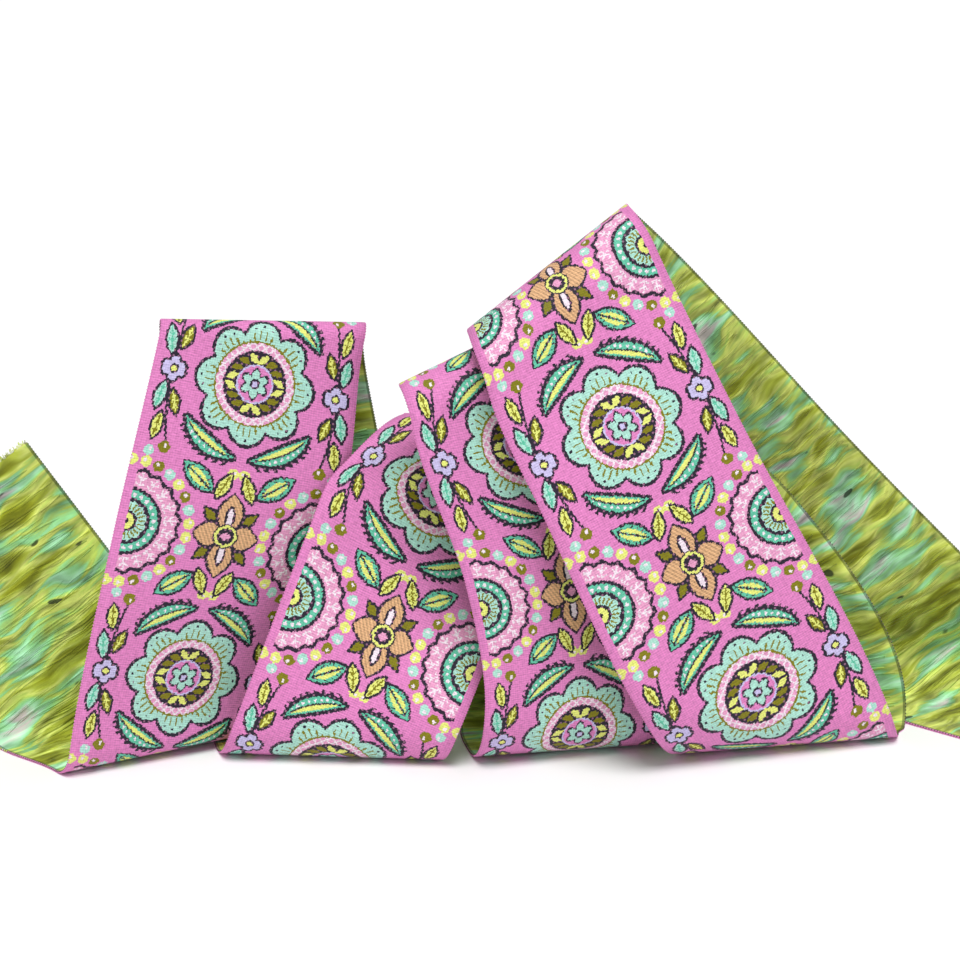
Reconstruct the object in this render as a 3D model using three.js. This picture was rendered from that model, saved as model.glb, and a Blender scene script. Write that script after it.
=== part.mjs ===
// A jacquard ribbon that stands in loose, flattened loops.
//
// Millimetres, +Z up, the surface it stands on is z = 0. The ribbon runs from
// its loose end at the left, over five feet and four tops, to its flat end at
// the right. It is one sheet. Its pink face looks out of the loops and its
// face of floating threads looks into them.

import * as THREE from 'three';

// The sheet
const THICKNESS = 1;
const FLOOR = THICKNESS / 2; // height of the sheet's middle where it lies flat

// How finely the sheet is divided
const SPACING = 6; // most that two sections lie apart between the folds
const ROLL_STEPS = 7; // steps in a quarter turn
const COLUMNS = 6; // strips across the width

// How strongly a run keeps the direction in which it leaves a fold
const SPRING = 0.9;

const UP = new THREE.Vector3(0, 0, 1);

// Rows across the ribbon, from the loose end to the flat one. Each goes from
// the left selvedge to the right one, in the order x, y, z. The viewer stands
// at -Y, so y grows away from the viewer.
//
// radius  bend radius of the fold, at the left and right selvedge
// drift   how far the sheet slides along the row for each mm round the fold
// angle   how far round the fold the bend goes, in degrees
const rows = [
  free([-148.5, 3, 43], [-108, 9.5, 72.5]),

  // Foot 1 stands on its left selvedge, with the other inside foot 2
  lands([-114.5, -5.5, FLOOR], [-57.5, 5.5, 2.4], { radius: [7.5, 4.5], drift: [0.6, 0.6] }),
  rises([-99.5, -19, FLOOR], [-54.5, 3, 2.4], { radius: [6.5, 4.5], drift: [0.21, 0.21] }),
  passes([-83.5, -20.5, 58], [-32, -1, 63]),
  ...turnsOver([-72.5, -7.5, 105.3], [-27, 7.5, 101.5], {
    up: { radius: [3.3, 3.3], drift: [0.2, 0.2], angle: 82 },
    down: { radius: [3.3, 3.3], drift: [0.1, 0.1], angle: 82 },
  }),
  passes([-69.5, 5.5, 58], [-24, 16, 67.5]),

  // Foot 2 and the low second loop, which leans on the third
  lands([-65, 3, FLOOR], [-16, 7.5, FLOOR], { radius: [10.5, 8.5], drift: [0.25, 0.25] }),
  rises([-63, -5, FLOOR], [-10, -9.5, FLOOR], { radius: [9.5, 8.5], drift: [0.4, 0.4] }),
  passes([-39, -8.5, 58], [13, 3.5, 51]),
  ...turnsOver([-18, 11.5, 78.6], [29, 19, 74], {
    up: { radius: [12.5, 8.5], drift: [0.9, 0.9], angle: 84 },
    down: { radius: [7.5, 5.5], drift: [0.2, 0.2], angle: 84 },
  }),

  // Foot 3 and the third loop
  lands([-4.5, 4.5, FLOOR], [43.5, 20.5, FLOOR], { radius: [8.5, 8.5], drift: [-0.25, -0.25] }),
  rises([-2.5, -6.5, FLOOR], [45.5, 2, FLOOR], { radius: [15, 10.5], drift: [0.05, -0.1] }),
  passes([-3.2, -21.5, 47], [42.5, -8.5, 53.5]),
  ...turnsOver([-18, -13, 91.2], [22.5, 4, 107.6], {
    up: { radius: [7.5, 7.5], drift: [0.24, 0.24], angle: 82 },
    down: { radius: [6.5, 7.5], drift: [0.3, 0.3], angle: 82 },
  }),
  passes([38, 8.5, 31], [75.3, 13, 58.3]),

  // Foot 4 and the tallest loop, which goes round the third
  lands([55.5, 26.5, FLOOR], [104, 9, FLOOR], { radius: [8.5, 5.5], drift: [0.1, 0.1] }),
  rises([49, -3, FLOOR], [102, 5.5, FLOOR], { radius: [20.5, 8.5], drift: [-0.55, -0.4] }),
  passes([13.5, -25.5, 66], [58.8, -8.5, 83.7]),
  ...turnsOver([-2.2, -11.5, 102.6], [34.2, 4, 129.4], {
    up: { radius: [10.5, 8.5], drift: [0.4, 0.19], angle: 82 },
    down: { radius: [16, 9.5], drift: [0.3, 0.3], angle: 82 },
  }),
  passes([45, 36, 60], [93, 32, 66]),
  passes([72, 38, 21], [126, 31.5, 33]),

  // Foot 5 and the flat end, which lies along the surface
  lands([88.5, 32, FLOOR], [161.5, 25.5, FLOOR], { radius: [10, 9], drift: [0.8, 0.8] }),
  free([135, -14.5, FLOOR], [168.5, 19, FLOOR]),
];

// A row in the open, which bends no more than its neighbours ask for
function passes(left, right) {
  return { open: true, left: point(left), right: point(right) };
}

function free(left, right) {
  return passes(left, right);
}

// The half of a foot in which the sheet comes down and levels out
function lands(left, right, bend) {
  return { left: point(left), right: point(right), below: true, from: -90, to: 0, ...bend };
}

// The other half, in which it leaves the surface towards the viewer
function rises(left, right, bend) {
  return { left: point(left), right: point(right), below: true, from: 0, to: 90, ...bend };
}

// A top, up its near side and down its far one
function turnsOver(left, right, { up, down }) {
  const ends = { left: point(left), right: point(right), below: false };
  return [
    { ...ends, ...up, from: -up.angle, to: 0 },
    { ...ends, ...down, from: 0, to: down.angle, joined: true },
  ];
}

function point([x, y, z]) {
  return new THREE.Vector3(x, y, z);
}

// A section holds the two selvedge points and the ribbon's direction at each
function bendSections(row) {
  const along = row.right.clone().sub(row.left).normalize();
  const away = UP.clone().cross(along).normalize();
  const lift = along.clone().cross(away);
  const sense = row.below ? -1 : 1;
  const bent = (start, radius, drift, angle) => ({
    place: start.clone()
      .addScaledVector(away, sense * radius * Math.sin(angle))
      .addScaledVector(lift, -sense * radius * (1 - Math.cos(angle)))
      .addScaledVector(along, drift * radius * angle),
    heading: new THREE.Vector3()
      .addScaledVector(away, sense * Math.cos(angle))
      .addScaledVector(lift, -sense * Math.sin(angle))
      .addScaledVector(along, drift)
      .normalize(),
  });
  const sections = [];
  for (let step = row.joined ? 1 : 0; step <= ROLL_STEPS; step += 1) {
    const angle = THREE.MathUtils.degToRad(row.from + (row.to - row.from) * step / ROLL_STEPS);
    sections.push([
      bent(row.left, row.radius[0], row.drift[0], angle),
      bent(row.right, row.radius[1], row.drift[1], angle),
    ]);
  }
  return sections;
}

// An open row has one section, which heads from the one before it to the next
function openSection(row) {
  return [{ place: row.left }, { place: row.right }];
}

function setHeadings(section, before, after) {
  section.forEach((edge, side) => {
    edge.heading = after[side].place.clone().sub(before[side].place).normalize();
  });
}

// A cubic run from one section to the next, along each selvedge
function runSections(start, end) {
  const gaps = start.map((from, side) => from.place.distanceTo(end[side].place));
  const count = Math.max(2, Math.round(Math.max(...gaps) / SPACING));
  const sections = [];
  for (let step = 1; step < count; step += 1) {
    sections.push(start.map((from, side) => alongRun(from, end[side], gaps[side], step / count)));
  }
  return sections;
}

function alongRun(from, to, gap, t) {
  const pull = gap * SPRING;
  const place = new THREE.Vector3()
    .addScaledVector(from.place, 2 * t ** 3 - 3 * t ** 2 + 1)
    .addScaledVector(from.heading, pull * (t ** 3 - 2 * t ** 2 + t))
    .addScaledVector(to.place, 3 * t ** 2 - 2 * t ** 3)
    .addScaledVector(to.heading, pull * (t ** 3 - t ** 2));
  const heading = new THREE.Vector3()
    .addScaledVector(from.place, 6 * t ** 2 - 6 * t)
    .addScaledVector(from.heading, pull * (3 * t ** 2 - 4 * t + 1))
    .addScaledVector(to.place, 6 * t - 6 * t ** 2)
    .addScaledVector(to.heading, pull * (3 * t ** 2 - 2 * t))
    .normalize();
  return { place, heading };
}

// All sections, from the loose end to the flat one
function ribbonSections() {
  const groups = rows.map((row) => (row.open ? [openSection(row)] : bendSections(row)));
  groups.forEach((group, index) => {
    if (rows[index].open) {
      const before = index > 0 ? groups[index - 1].at(-1) : group[0];
      const after = index < groups.length - 1 ? groups[index + 1][0] : group[0];
      setHeadings(group[0], before, after);
    }
  });
  const sections = [];
  groups.forEach((group, index) => {
    if (index > 0 && !rows[index].joined) {
      sections.push(...runSections(sections.at(-1), group[0]));
    }
    sections.push(...group);
  });
  return sections;
}

// A closed sheet round the sections: the pink face, the other face, the two
// selvedges and the two cut ends
function sheetGeometry(sections) {
  const positions = [];
  for (const side of [1, -1]) {
    for (const [left, right] of sections) {
      const across = right.place.clone().sub(left.place);
      for (let column = 0; column <= COLUMNS; column += 1) {
        const share = column / COLUMNS;
        const heading = left.heading.clone().lerp(right.heading, share);
        const normal = across.clone().cross(heading).normalize();
        const place = left.place.clone()
          .addScaledVector(across, share)
          .addScaledVector(normal, side * THICKNESS / 2);
        positions.push(...place.toArray());
      }
    }
  }

  const perSection = COLUMNS + 1;
  const faceSize = sections.length * perSection;
  const at = (face, section, column) => face * faceSize + section * perSection + column;
  const indices = [];
  const quad = (a, b, c, d) => indices.push(a, b, c, a, c, d);
  for (let section = 0; section < sections.length - 1; section += 1) {
    const next = section + 1;
    for (let column = 0; column < COLUMNS; column += 1) {
      const right = column + 1;
      quad(at(0, section, column), at(0, section, right), at(0, next, right), at(0, next, column));
      quad(at(1, section, column), at(1, next, column), at(1, next, right), at(1, section, right));
    }
    quad(at(0, section, 0), at(0, next, 0), at(1, next, 0), at(1, section, 0));
    quad(at(0, section, COLUMNS), at(1, section, COLUMNS), at(1, next, COLUMNS), at(0, next, COLUMNS));
  }
  const lastSection = sections.length - 1;
  for (let column = 0; column < COLUMNS; column += 1) {
    const right = column + 1;
    quad(at(0, 0, column), at(1, 0, column), at(1, 0, right), at(0, 0, right));
    quad(
      at(0, lastSection, column),
      at(0, lastSection, right),
      at(1, lastSection, right),
      at(1, lastSection, column),
    );
  }

  const geometry = new THREE.BufferGeometry();
  geometry.setAttribute('position', new THREE.Float32BufferAttribute(positions, 3));
  geometry.setIndex(indices);
  geometry.computeVertexNormals();
  return geometry;
}

// Moves the middle of the box over the origin
function centre(geometry) {
  geometry.computeBoundingBox();
  const middle = geometry.boundingBox.getCenter(new THREE.Vector3());
  geometry.translate(-middle.x, -middle.y, 0);
  return geometry;
}

const wovenPink = new THREE.MeshStandardMaterial({
  color: 0xe472c8,
  roughness: 0.7,
  metalness: 0,
});

const ribbon = new THREE.Mesh(centre(sheetGeometry(ribbonSections())), wovenPink);
ribbon.name = 'ribbon';

const group = new THREE.Group();
group.add(ribbon);

export default group;
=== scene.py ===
# %% [markdown]
# A jacquard ribbon that stands in loose loops
#
# The object is a single woven ribbon, 50 mm wide and about 1.16 m long. It
# stands on the undersides of its folds, in four flattened loops. The outside
# of the loops is pink and carries a woven pattern. The inside shows the loose
# threads that wait behind the cloth until the pattern needs their colour.
#
# The lesson goes this way: the shape of the folds, the cloth, the pattern as
# a jacquard loom would plan it, the threads on the back, and the light.

# %% Load the frame
import math

import bpy
import numpy as np
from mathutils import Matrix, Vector


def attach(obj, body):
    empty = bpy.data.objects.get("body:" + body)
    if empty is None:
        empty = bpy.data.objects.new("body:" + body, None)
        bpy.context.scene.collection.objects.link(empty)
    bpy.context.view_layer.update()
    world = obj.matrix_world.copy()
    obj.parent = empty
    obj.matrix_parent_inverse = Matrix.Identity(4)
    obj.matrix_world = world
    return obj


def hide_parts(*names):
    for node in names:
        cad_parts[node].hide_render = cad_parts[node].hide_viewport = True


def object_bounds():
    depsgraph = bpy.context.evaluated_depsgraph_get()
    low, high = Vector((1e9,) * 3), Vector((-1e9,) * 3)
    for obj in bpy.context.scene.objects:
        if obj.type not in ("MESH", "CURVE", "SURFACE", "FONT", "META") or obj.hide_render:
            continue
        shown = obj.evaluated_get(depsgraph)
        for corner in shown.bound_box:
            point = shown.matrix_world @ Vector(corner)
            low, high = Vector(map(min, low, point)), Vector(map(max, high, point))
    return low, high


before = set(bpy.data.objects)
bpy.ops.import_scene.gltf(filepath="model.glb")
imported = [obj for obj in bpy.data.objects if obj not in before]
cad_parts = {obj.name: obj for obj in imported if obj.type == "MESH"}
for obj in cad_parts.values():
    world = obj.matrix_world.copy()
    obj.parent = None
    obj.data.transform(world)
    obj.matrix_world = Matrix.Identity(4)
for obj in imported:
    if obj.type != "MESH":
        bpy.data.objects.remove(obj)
cad_low, cad_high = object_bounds()
MM = 0.001
print("frame:", [round(side / MM, 1) for side in cad_high - cad_low], "mm")

# %% [markdown]
# The shape of the folds
#
# Ribbon bends easily along its length and hardly at all across its width, so
# straight rows across it describe its shape. The table holds one row for each
# place where the bend changes: where a loop comes down on the surface, where
# it leaves it, where it turns over at the top, and a few in the open runs
# between. Each row goes from the left selvedge to the right one, in mm. The
# same rows make the solid that this cloth replaces.

# %% Rows across the ribbon
FLOOR = 0.5
QUARTER = 90


def free(left, right):
    """A row in the open."""
    return {"open": True, "left": left, "right": right}


def lands(left, right, radius, drift):
    """The sheet comes down and levels out."""
    return {"left": left, "right": right, "radius": radius, "drift": drift,
            "sense": -1, "start": -QUARTER, "stop": 0}


def rises(left, right, radius, drift):
    """The sheet leaves the surface towards the viewer."""
    return {"left": left, "right": right, "radius": radius, "drift": drift,
            "sense": -1, "start": 0, "stop": QUARTER}


def turns_over(left, right, near, far, angle):
    """A top: up on the near side, down on the far one."""
    row = {"left": left, "right": right, "sense": 1}
    near_half = {"radius": near[0], "drift": near[1], "start": -angle, "stop": 0}
    far_half = {"radius": far[0], "drift": far[1], "start": 0, "stop": angle, "joined": True}
    return [row | near_half, row | far_half]


ROWS = [
    free((-148.5, 3, 43), (-108, 9.5, 72.5)),
    lands((-114.5, -5.5, FLOOR), (-57.5, 5.5, 2.4), (7.5, 4.5), (0.6, 0.6)),
    rises((-99.5, -19, FLOOR), (-54.5, 3, 2.4), (6.5, 4.5), (0.21, 0.21)),
    free((-83.5, -20.5, 58), (-32, -1, 63)),
    *turns_over((-72.5, -7.5, 105.3), (-27, 7.5, 101.5),
                ((3.3, 3.3), (0.2, 0.2)), ((3.3, 3.3), (0.1, 0.1)), 82),
    free((-69.5, 5.5, 58), (-24, 16, 67.5)),
    lands((-65, 3, FLOOR), (-16, 7.5, FLOOR), (10.5, 8.5), (0.25, 0.25)),
    rises((-63, -5, FLOOR), (-10, -9.5, FLOOR), (9.5, 8.5), (0.4, 0.4)),
    free((-39, -8.5, 58), (13, 3.5, 51)),
    *turns_over((-18, 11.5, 78.6), (29, 19, 74),
                ((12.5, 8.5), (0.9, 0.9)), ((7.5, 5.5), (0.2, 0.2)), 84),
    lands((-4.5, 4.5, FLOOR), (43.5, 20.5, FLOOR), (8.5, 8.5), (-0.25, -0.25)),
    rises((-2.5, -6.5, FLOOR), (45.5, 2, FLOOR), (15, 10.5), (0.05, -0.1)),
    free((-3.2, -21.5, 47), (42.5, -8.5, 53.5)),
    *turns_over((-18, -13, 91.2), (22.5, 4, 107.6),
                ((7.5, 7.5), (0.24, 0.24)), ((6.5, 7.5), (0.3, 0.3)), 82),
    free((38, 8.5, 31), (75.3, 13, 58.3)),
    lands((55.5, 26.5, FLOOR), (104, 9, FLOOR), (8.5, 5.5), (0.1, 0.1)),
    rises((49, -3, FLOOR), (102, 5.5, FLOOR), (20.5, 8.5), (-0.55, -0.4)),
    free((13.5, -25.5, 66), (58.8, -8.5, 83.7)),
    *turns_over((-2.2, -11.5, 102.6), (34.2, 4, 129.4),
                ((10.5, 8.5), (0.4, 0.19)), ((16, 9.5), (0.3, 0.3)), 82),
    free((45, 36, 60), (93, 32, 66)),
    free((72, 38, 21), (126, 31.5, 33)),
    lands((88.5, 32, FLOOR), (161.5, 25.5, FLOOR), (10, 9), (0.8, 0.8)),
    free((135, -14.5, FLOOR), (168.5, 19, FLOOR)),
]
print(len(ROWS), "rows")

# %% [markdown]
# Between two rows each selvedge follows a cubic curve that keeps the heading
# of the row it leaves and takes up that of the row it reaches. Round a fold
# it follows an arc. This is a loft. A cloth simulation could fold a flat strip
# too, but it would not stop in just these folds.

# %% Loft the two selvedges
SPACING = 2.0
ROLL_STEPS = 12
SPRING = 0.9
UP = np.array([0.0, 0.0, 1.0])


def unit(vector):
    return vector / np.linalg.norm(vector)


def bend_sections(row):
    """Places and headings of both selvedges, round one fold."""
    ends = np.array([row["left"], row["right"]], float)
    along = unit(ends[1] - ends[0])
    away = unit(np.cross(UP, along))
    lift = np.cross(along, away)
    sections = []
    for step in range(1 if row.get("joined") else 0, ROLL_STEPS + 1):
        angle = math.radians(row["start"] + (row["stop"] - row["start"]) * step / ROLL_STEPS)
        edges = []
        for end, radius, drift in zip(ends, row["radius"], row["drift"]):
            out = row["sense"] * (away * math.sin(angle) - lift * (1 - math.cos(angle)))
            ahead = row["sense"] * (away * math.cos(angle) - lift * math.sin(angle))
            edges.append((end + radius * (out + along * drift * angle), unit(ahead + along * drift)))
        sections.append(edges)
    return sections


def run_sections(start, stop):
    """A cubic run between two sections."""
    gaps = [np.linalg.norm(there[0] - here[0]) for here, there in zip(start, stop)]
    count = max(2, round(max(gaps) / SPACING))
    sections = []
    for step in range(1, count):
        t = step / count
        edges = []
        for (here, leave), (there, reach), gap in zip(start, stop, gaps):
            pull = gap * SPRING
            place = (here * (2 * t**3 - 3 * t**2 + 1) + leave * pull * (t**3 - 2 * t**2 + t)
                     + there * (3 * t**2 - 2 * t**3) + reach * pull * (t**3 - t**2))
            slope = ((here - there) * (6 * t**2 - 6 * t) + leave * pull * (3 * t**2 - 4 * t + 1)
                     + reach * pull * (3 * t**2 - 2 * t))
            edges.append((place, unit(slope)))
        sections.append(edges)
    return sections


def ribbon_sections():
    """All sections from the loose end to the flat one."""
    groups = [None if row.get("open") else bend_sections(row) for row in ROWS]
    spots = [[np.array(row["left"], float), np.array(row["right"], float)] for row in ROWS]
    for index, row in enumerate(ROWS):
        if row.get("open"):
            before, after = max(index - 1, 0), min(index + 1, len(ROWS) - 1)
            first = [edge[0] for edge in groups[before][-1]] if groups[before] else spots[before]
            last = [edge[0] for edge in groups[after][0]] if groups[after] else spots[after]
            groups[index] = [[(here, unit(b - a)) for here, a, b in zip(spots[index], first, last)]]
    sections = []
    for row, group in zip(ROWS, groups):
        if sections and not row.get("joined"):
            sections += run_sections(sections[-1], group[0])
        sections += group
    return sections


sections = ribbon_sections()
edge_places = np.array([[edge[0] for edge in section] for section in sections])
edge_headings = np.array([[edge[1] for edge in section] for section in sections])
print(len(sections), "sections")

# %% [markdown]
# How the weave lies on the folds
#
# The threads that cross the ribbon stay square to its selvedges, while the
# rows above may cross it at a slant. So each point gets its place in the flat
# ribbon: its distance along the middle line, corrected for the slant, and its
# distance from the left selvedge. The two numbers become a UV map, and the
# pattern and the loose threads follow it.
#
# Round a slanting fold one selvedge runs a longer way than the other, so the
# slant has to change by that much from row to row. Least squares finds the
# slants that do so and still stay near the ones that the rows show. This
# keeps the pattern from being drawn out on one side of a fold. EASE is the
# length in mm over which a mismatch is spread, and END_HOLD keeps the two
# cuts as square as their rows.

# %% Measure the flat ribbon
WIDTH = 50.0
EASE = 40.0
END_HOLD = 50

middle = edge_places.mean(axis=1)
steps = np.linalg.norm(np.diff(middle, axis=0), axis=1)
run = np.concatenate([[0], np.cumsum(steps)])
ahead = np.gradient(middle, axis=0)
ahead /= np.linalg.norm(ahead, axis=1)[:, None]
across = edge_places[:, 1] - edge_places[:, 0]
slip = (ahead * across).sum(axis=1) / np.linalg.norm(across, axis=1)
edge_steps = np.linalg.norm(np.diff(edge_places, axis=0), axis=2)


def even_slants(row_slants):
    """Slants that suit the lengths of both selvedges."""
    change = (edge_steps[:, 1] - edge_steps[:, 0]) / WIDTH
    held = np.sqrt(np.gradient(run))
    held[[0, -1]] *= END_HOLD
    eased = EASE / np.sqrt(steps)
    every_row = np.eye(len(run))
    rules = np.concatenate([every_row * held[:, None], np.diff(every_row, axis=0) * eased[:, None]])
    wanted = np.concatenate([row_slants * held, change * eased])
    return np.linalg.solve(rules.T @ rules, rules.T @ wanted)


slant = even_slants(slip / np.sqrt(1 - slip**2))
START_SLACK = 5.0
REACH = round(run[-1] + 2 * START_SLACK)
flat_steps = steps[:, None] + np.diff(slant)[:, None] * WIDTH * np.array([-0.5, 0.5])
print("length along the middle:", round(run[-1]), "mm")
print("selvedges stretched by at most", round(float((edge_steps / flat_steps).max()), 2))


def flat_place(index, share):
    """Distance along and across the flat ribbon, as shares of REACH and WIDTH."""
    distance = run[index] + START_SLACK + (share - 0.5) * WIDTH * slant[index]
    return distance / REACH, share


# %% [markdown]
# The cloth
#
# The cloth is one closed mesh: the patterned face, the inner face and two
# rounded selvedges between them. Its outer face lies where the solid's does,
# so it rests on the surface. It is thinner than the solid, because the loose
# threads take up most of the rest. One sheet with a Solidify modifier would do
# as well, but ring by ring the selvedges are rounded in the same step.

# %% Build the cloth
OUTSIDE = 0.5
INSIDE = -0.1
SELVEDGE_BULGE = 0.15
COLUMNS = 14


def surface_point(index, share, offset):
    """A point of the sheet, with its distance from the middle surface."""
    left, right = edge_places[index]
    heading = edge_headings[index, 0] * (1 - share) + edge_headings[index, 1] * share
    normal = unit(np.cross(right - left, heading))
    return left + (right - left) * share + normal * offset


def ring_of(index):
    """One closed ring round the cloth: points, and which share of the width each has."""
    shares = [column / COLUMNS for column in range(COLUMNS + 1)]
    left, right = edge_places[index]
    sideways = unit(right - left) * SELVEDGE_BULGE
    centre = (OUTSIDE + INSIDE) / 2
    points = [surface_point(index, share, OUTSIDE) for share in shares]
    points.append(surface_point(index, 1, centre) + sideways)
    points += [surface_point(index, share, INSIDE) for share in reversed(shares)]
    points.append(surface_point(index, 0, centre) - sideways)
    return points, shares + [1] + shares[::-1] + [0]


def mesh_object(name, points, faces, places):
    """A mesh object with the flat ribbon's places as its UV map."""
    mesh = bpy.data.meshes.new(name)
    mesh.from_pydata([tuple(point) for point in points], [], faces)
    layer = mesh.uv_layers.new(name="weave")
    for loop in mesh.loops:
        layer.data[loop.index].uv = places[loop.vertex_index]
    mesh.shade_smooth()
    piece = bpy.data.objects.new(name, mesh)
    bpy.context.scene.collection.objects.link(piece)
    return piece


rings = [ring_of(index) for index in range(len(sections))]
ring_size = len(rings[0][0])
cloth_points = np.array([point for points, _ in rings for point in points])
cloth_places = [flat_place(index, share) for index, (_, shares) in enumerate(rings) for share in shares]
cloth_faces = []
for index in range(len(rings) - 1):
    for spot in range(ring_size):
        after = (spot + 1) % ring_size
        here, there = index * ring_size, (index + 1) * ring_size
        cloth_faces.append((here + spot, here + after, there + after, there + spot))
first_cap = list(range(ring_size))[::-1]
last_cap = [(len(rings) - 1) * ring_size + spot for spot in range(ring_size)]
cloth_faces += [first_cap, last_cap]

cad_middle = np.array((cad_low + cad_high) / 2) / MM
cloth_middle = (cloth_points.min(axis=0) + cloth_points.max(axis=0)) / 2
SHIFT = np.array([cad_middle[0] - cloth_middle[0], cad_middle[1] - cloth_middle[1], 0])
ribbon = mesh_object("ribbon_cloth", (cloth_points + SHIFT) * MM, cloth_faces, cloth_places)
print("cloth:", len(ribbon.data.polygons), "faces, set over by", SHIFT.round(2), "mm")

# %% [markdown]
# Nodes as formulas
#
# A woven pattern is a plan: for each crossing of two threads it says which
# colour lies on top. Here that plan is worked out from formulas. A Field is a
# number that varies over the ribbon. Sums with Fields add the matching nodes
# to the material, so the pattern below reads as plain arithmetic.

# %% Fields and nodes
def add_node(tree, kind, inputs=None, **settings):
    """Adds a node, sets it up, and fills or links its inputs by name or number."""
    node = tree.nodes.new(kind)
    for name, value in settings.items():
        setattr(node, name, value)
    for name, value in (inputs or {}).items():
        socket = node.inputs[name]
        if isinstance(value, Field):
            value = value.socket
        if isinstance(value, bpy.types.NodeSocket):
            tree.links.new(value, socket)
        else:
            socket.default_value = value
    return node


class Field:
    """A number that varies over the ribbon."""

    def __init__(self, tree, socket):
        self.tree = tree
        self.socket = socket

    def math(self, operation, *others):
        inputs = dict(enumerate((self, *others)))
        node = add_node(self.tree, "ShaderNodeMath", inputs, operation=operation)
        return Field(self.tree, node.outputs[0])

    def __add__(self, other):
        return self.math("ADD", other)

    def __sub__(self, other):
        return self.math("SUBTRACT", other)

    def __rsub__(self, other):
        return (self * -1) + other

    def __mul__(self, other):
        return self.math("MULTIPLY", other)

    def __lt__(self, other):
        return self.math("LESS_THAN", other)

    def __gt__(self, other):
        return self.math("GREATER_THAN", other)

    def size(self):
        return self.math("ABSOLUTE")

    def snapped(self, step):
        """The middle of the thread that covers this place."""
        return self.math("SNAP", step) + step / 2

    def folded(self, half):
        """Runs from 0 to half and back again."""
        return self.math("PINGPONG", half)

    def repeated(self, step):
        """Runs from minus half a step to half a step, over and over."""
        return (self * (1 / step)).math("FRACT") * step - step / 2

    def reach(self, other):
        """Length of the arrow (self, other)."""
        return (self * self + other * other).math("SQRT")

    def turn(self, other):
        """Angle of the arrow (other, self)."""
        return self.math("ARCTAN2", other)


# %% Empty materials and colours
def material_with(name):
    """An empty material, its tree and its surface shader."""
    material = bpy.data.materials.new(name)
    material.use_nodes = True
    tree = material.node_tree
    return material, tree, tree.nodes["Principled BSDF"]


def screen_colour(red, green, blue):
    """A colour as a screen gives it, from 0 to 255, in linear light."""
    shares = [channel / 255 for channel in (red, green, blue)]
    linear = [s / 12.92 if s <= 0.04045 else ((s + 0.055) / 1.055) ** 2.4 for s in shares]
    return (*linear, 1)


print("a middle grey in linear light:", round(screen_colour(128, 128, 128)[0], 3))

# %% [markdown]
# The yarns
#
# The loom has ten yarns. The plan holds a yarn's number at each crossing, and
# one stepped ramp turns numbers into colours. Each figure could mix its own
# colour in, but numbers let later nodes ask which yarn lies on top.

# %% Yarn colours
YARNS = {
    "pink": (228, 134, 196),
    "blush": (236, 162, 202),
    "white": (246, 230, 241),
    "navy": (37, 29, 47),
    "olive": (132, 126, 10),
    "lime": (234, 239, 126),
    "mint": (176, 228, 212),
    "teal": (100, 198, 166),
    "peach": (234, 184, 136),
    "lilac": (206, 196, 238),
}
NUMBER = {yarn: number for number, yarn in enumerate(YARNS)}


def yarn_ramp(tree, number):
    """Turns yarn numbers into colours."""
    node = add_node(tree, "ShaderNodeValToRGB", {0: (number + 0.5) * (1 / len(YARNS))})
    ramp = node.color_ramp
    ramp.interpolation = "CONSTANT"
    while len(ramp.elements) < len(YARNS):
        ramp.elements.new(1)
    for element, (yarn, colour) in zip(ramp.elements, YARNS.items()):
        element.position = NUMBER[yarn] / len(YARNS)
        element.color = screen_colour(*colour)
    return node.outputs["Color"]


class Plan:
    """The weaving plan. Later figures cover earlier ones."""

    def __init__(self, tree, ground):
        start = add_node(tree, "ShaderNodeValue")
        start.outputs[0].default_value = NUMBER[ground]
        self.number = Field(tree, start.outputs[0])

    def lay(self, yarn, where):
        """Brings a yarn to the top wherever a Field is 1."""
        self.number = where.math("MULTIPLY_ADD", NUMBER[yarn] - self.number, self.number)


print("yarns:", ", ".join(YARNS))

# %% [markdown]
# The woven figures
#
# The pattern is mirrored about the middle line of the ribbon and about each
# rosette, so one quarter of the repeat is enough: u runs from a rosette to a
# blossom, and v from the middle line to a selvedge, both in mm. Each helper
# returns how far a point lies outside a figure, less than 0 inside it. A
# painted picture would be simpler, but formulas stay sharp at any distance.
#
# Leaves and pearls come first, because the other figures use them.

# %% Leaves and pearls
HALF_REPEAT = 36.0
MARGIN = 23.2
LINE = 1.05
FINE_LINE = 0.65


def degrees(angle):
    return math.radians(angle)


def taper(place, half_length):
    """Is 1 in the middle and 0 at half_length to either side."""
    return 1 - (place * (1 / half_length)).math("POWER", 2.0)


def leaf_shape(x, y, centre, angle, length, width):
    """A pointed leaf. Also returns the distances along and off its rib."""
    cosine, sine = math.cos(degrees(angle)), math.sin(degrees(angle))
    along = (x - centre[0]) * cosine + (y - centre[1]) * sine
    off = (y - centre[1]) * cosine - (x - centre[0]) * sine
    return off.size() - taper(along, length / 2) * (width / 2), along, off


def lay_leaf(plan, x, y, centre, angle, length, width, yarn, rib):
    """A leaf with a dark outline, a rib and slanting veins."""
    edge, along, off = leaf_shape(x, y, centre, angle, length, width)
    plan.lay("navy", edge < FINE_LINE)
    plan.lay(yarn, edge < 0)
    veins = (along - off.size()).repeated(1.5).size() < 0.2
    plan.lay(rib, veins * (edge < -0.25))
    plan.lay(rib, (off.size() < 0.2) * (along.size() < length * 0.4))
    return edge, along, off


def lay_pearl(plan, x, y, size, yarn):
    """One round pearl with a light spot."""
    plan.lay(yarn, x.reach(y) < size)
    plan.lay("white", (x + 0.3).reach(y + 0.3) < size * 0.32)


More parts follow.
